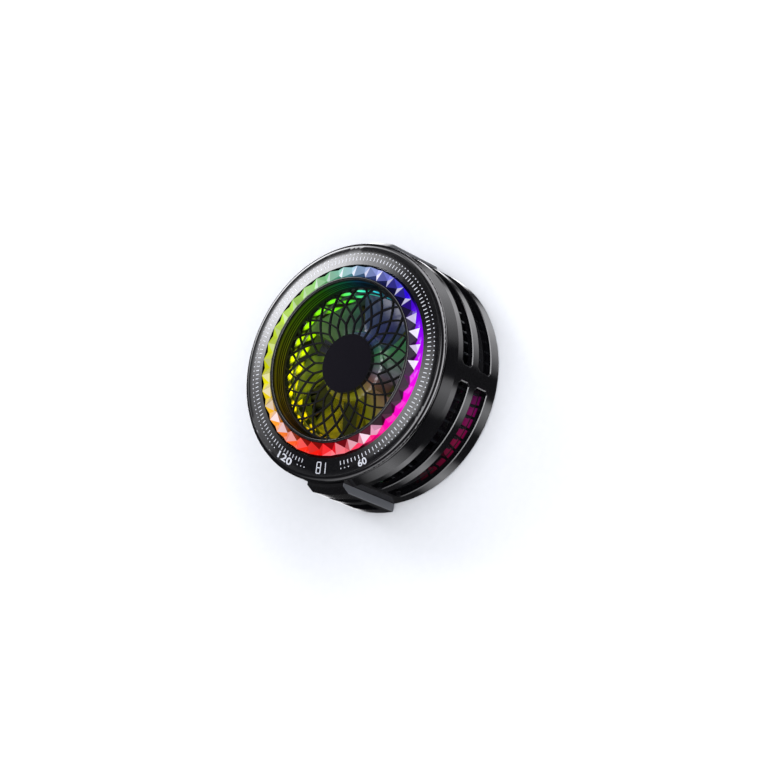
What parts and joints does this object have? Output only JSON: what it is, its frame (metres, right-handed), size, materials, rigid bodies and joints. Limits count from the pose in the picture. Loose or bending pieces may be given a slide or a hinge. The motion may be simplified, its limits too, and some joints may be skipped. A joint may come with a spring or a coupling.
{
  "type": "phone_cooling_fan",
  "caption": "Round magnetic phone cooler with a gloss black bezel, a faceted crystal ring lit in rainbow colours, a spiral intake grille and two rows of side vents over a finned heat sink",
  "frame": {"origin": "centre of the contact face, on the plane that rests on the phone", "axes": "+Z out of the phone along the fan axis to the lit front, -Y towards the charging port, +X completes a right-handed frame"},
  "size_m": [0.0584, 0.0617, 0.0243],
  "materials": {
    "silicone": "matt soft silicone",
    "body_plastic": "polished black moulding",
    "gloss_black": "piano black, mirror smooth",
    "grille_plastic": "satin black moulding",
    "badge_film": "matt dark film",
    "smoke_plastic": "translucent smoke grey",
    "clear_guide": "clear, faceted inside",
    "white_nylon": "plain white moulding",
    "sensor_epoxy": "dipped epoxy bead",
    "chip_epoxy": "moulded epoxy",
    "lead_insulation": "extruded wire cover",
    "ribbon_film": "polyimide film",
    "thermal_pad": "soft filled pad",
    "black_foam": "closed cell foam",
    "white_ceramic": "sintered alumina",
    "circuit_board": "green solder mask",
    "crystal": "clear, cut in flat facets",
    "light_emitter": "lit diffuser",
    "mirror_film": "vacuum metallised, turned grooves",
    "dark_anodised": "dark anodised extrusion",
    "aluminium_plate": "fine turned",
    "magnet_plating": "nickel plated",
    "plated_steel": "zinc plated",
    "port_steel": "bright drawn steel",
    "pellet_metal": "sawn semiconductor",
    "bonded_ferrite": "bonded magnet",
    "copper_winding": "enamelled copper wire",
    "sintered_brass": "oil filled sintered bush"
  },
  "bodies": {
    "base": {"contact_pad": "silicone", "back_cover": "body_plastic", "magnet_array": "magnet_plating", "magnet_shunt": "plated_steel", "cold_plate": "aluminium_plate", "cover_screws": "plated_steel", "cold_interface": "thermal_pad", "cold_ceramic": "white_ceramic", "module_pellets": "pellet_metal", "hot_ceramic": "white_ceramic", "hot_interface": "thermal_pad", "insulation_foam": "black_foam", "temperature_sensor": "sensor_epoxy", "module_leads": "lead_insulation", "heat_sink": "dark_anodised", "sink_screws": "plated_steel", "housing": "body_plastic", "main_board": "circuit_board", "controller_chip": "chip_epoxy", "board_components": "chip_epoxy", "usb_c_shell": "port_steel", "usb_c_tongue": "chip_epoxy", "fan_ribbon": "ribbon_film", "front_ribbon": "ribbon_film", "fan_frame": "smoke_plastic", "fan_screws": "plated_steel", "motor_board": "circuit_board", "stator_core": "plated_steel", "stator_coils": "copper_winding", "thrust_pad": "white_nylon", "bearing_sleeve": "sintered_brass", "light_carrier": "white_nylon", "light_guide": "clear_guide", "front_board": "circuit_board", "rgb_lights": "light_emitter", "display_digits": "chip_epoxy", "crystal_ring": "crystal", "trim_ring": "gloss_black", "reflector_cone": "mirror_film", "intake_grille": "grille_plastic", "hub_badge": "badge_film", "bezel": "gloss_black"},
    "rotor": {"rotor_shaft": "port_steel", "shaft_clip": "white_nylon", "rotor_magnet": "bonded_ferrite", "rotor_yoke": "plated_steel", "impeller": "smoke_plastic"}
  },
  "joints": [
    {"name": "fan_spin", "type": "hinge", "parent": "base", "child": "rotor", "pos_m": [0, 0, 0.0158], "axis": [0, 0, 1], "continuous": true}
  ]
}
